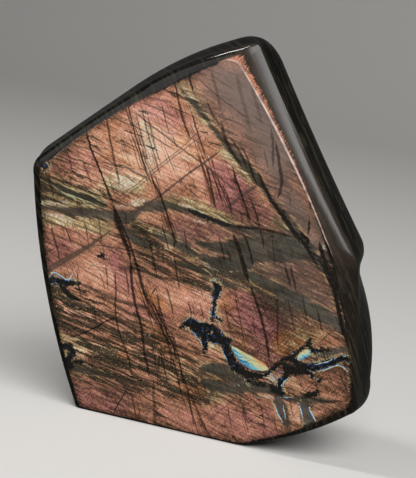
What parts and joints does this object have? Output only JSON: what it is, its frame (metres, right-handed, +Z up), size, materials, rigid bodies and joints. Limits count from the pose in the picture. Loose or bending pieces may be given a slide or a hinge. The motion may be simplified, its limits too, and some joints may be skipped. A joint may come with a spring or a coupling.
{
  "type": "polished labradorite freeform",
  "caption": "Thick upright slab of labradorite, polished all over, with a flat show face that flashes copper and blue, soft ground sides and a flat sawn base.",
  "frame": {"origin": "middle of the flat sawn base", "axes": "+Z up from the base to the apex, -Y out of the polished show face, +X to the right as that face is seen"},
  "size_m": [0.2678, 0.0775, 0.2859],
  "materials": {
    "labradorite": "Polished feldspar: copper, rose and gold flash over grey, with dark cracks and blue-rimmed veins"
  },
  "bodies": {
    "root": {"stone": "labradorite"}
  },
  "joints": []
}
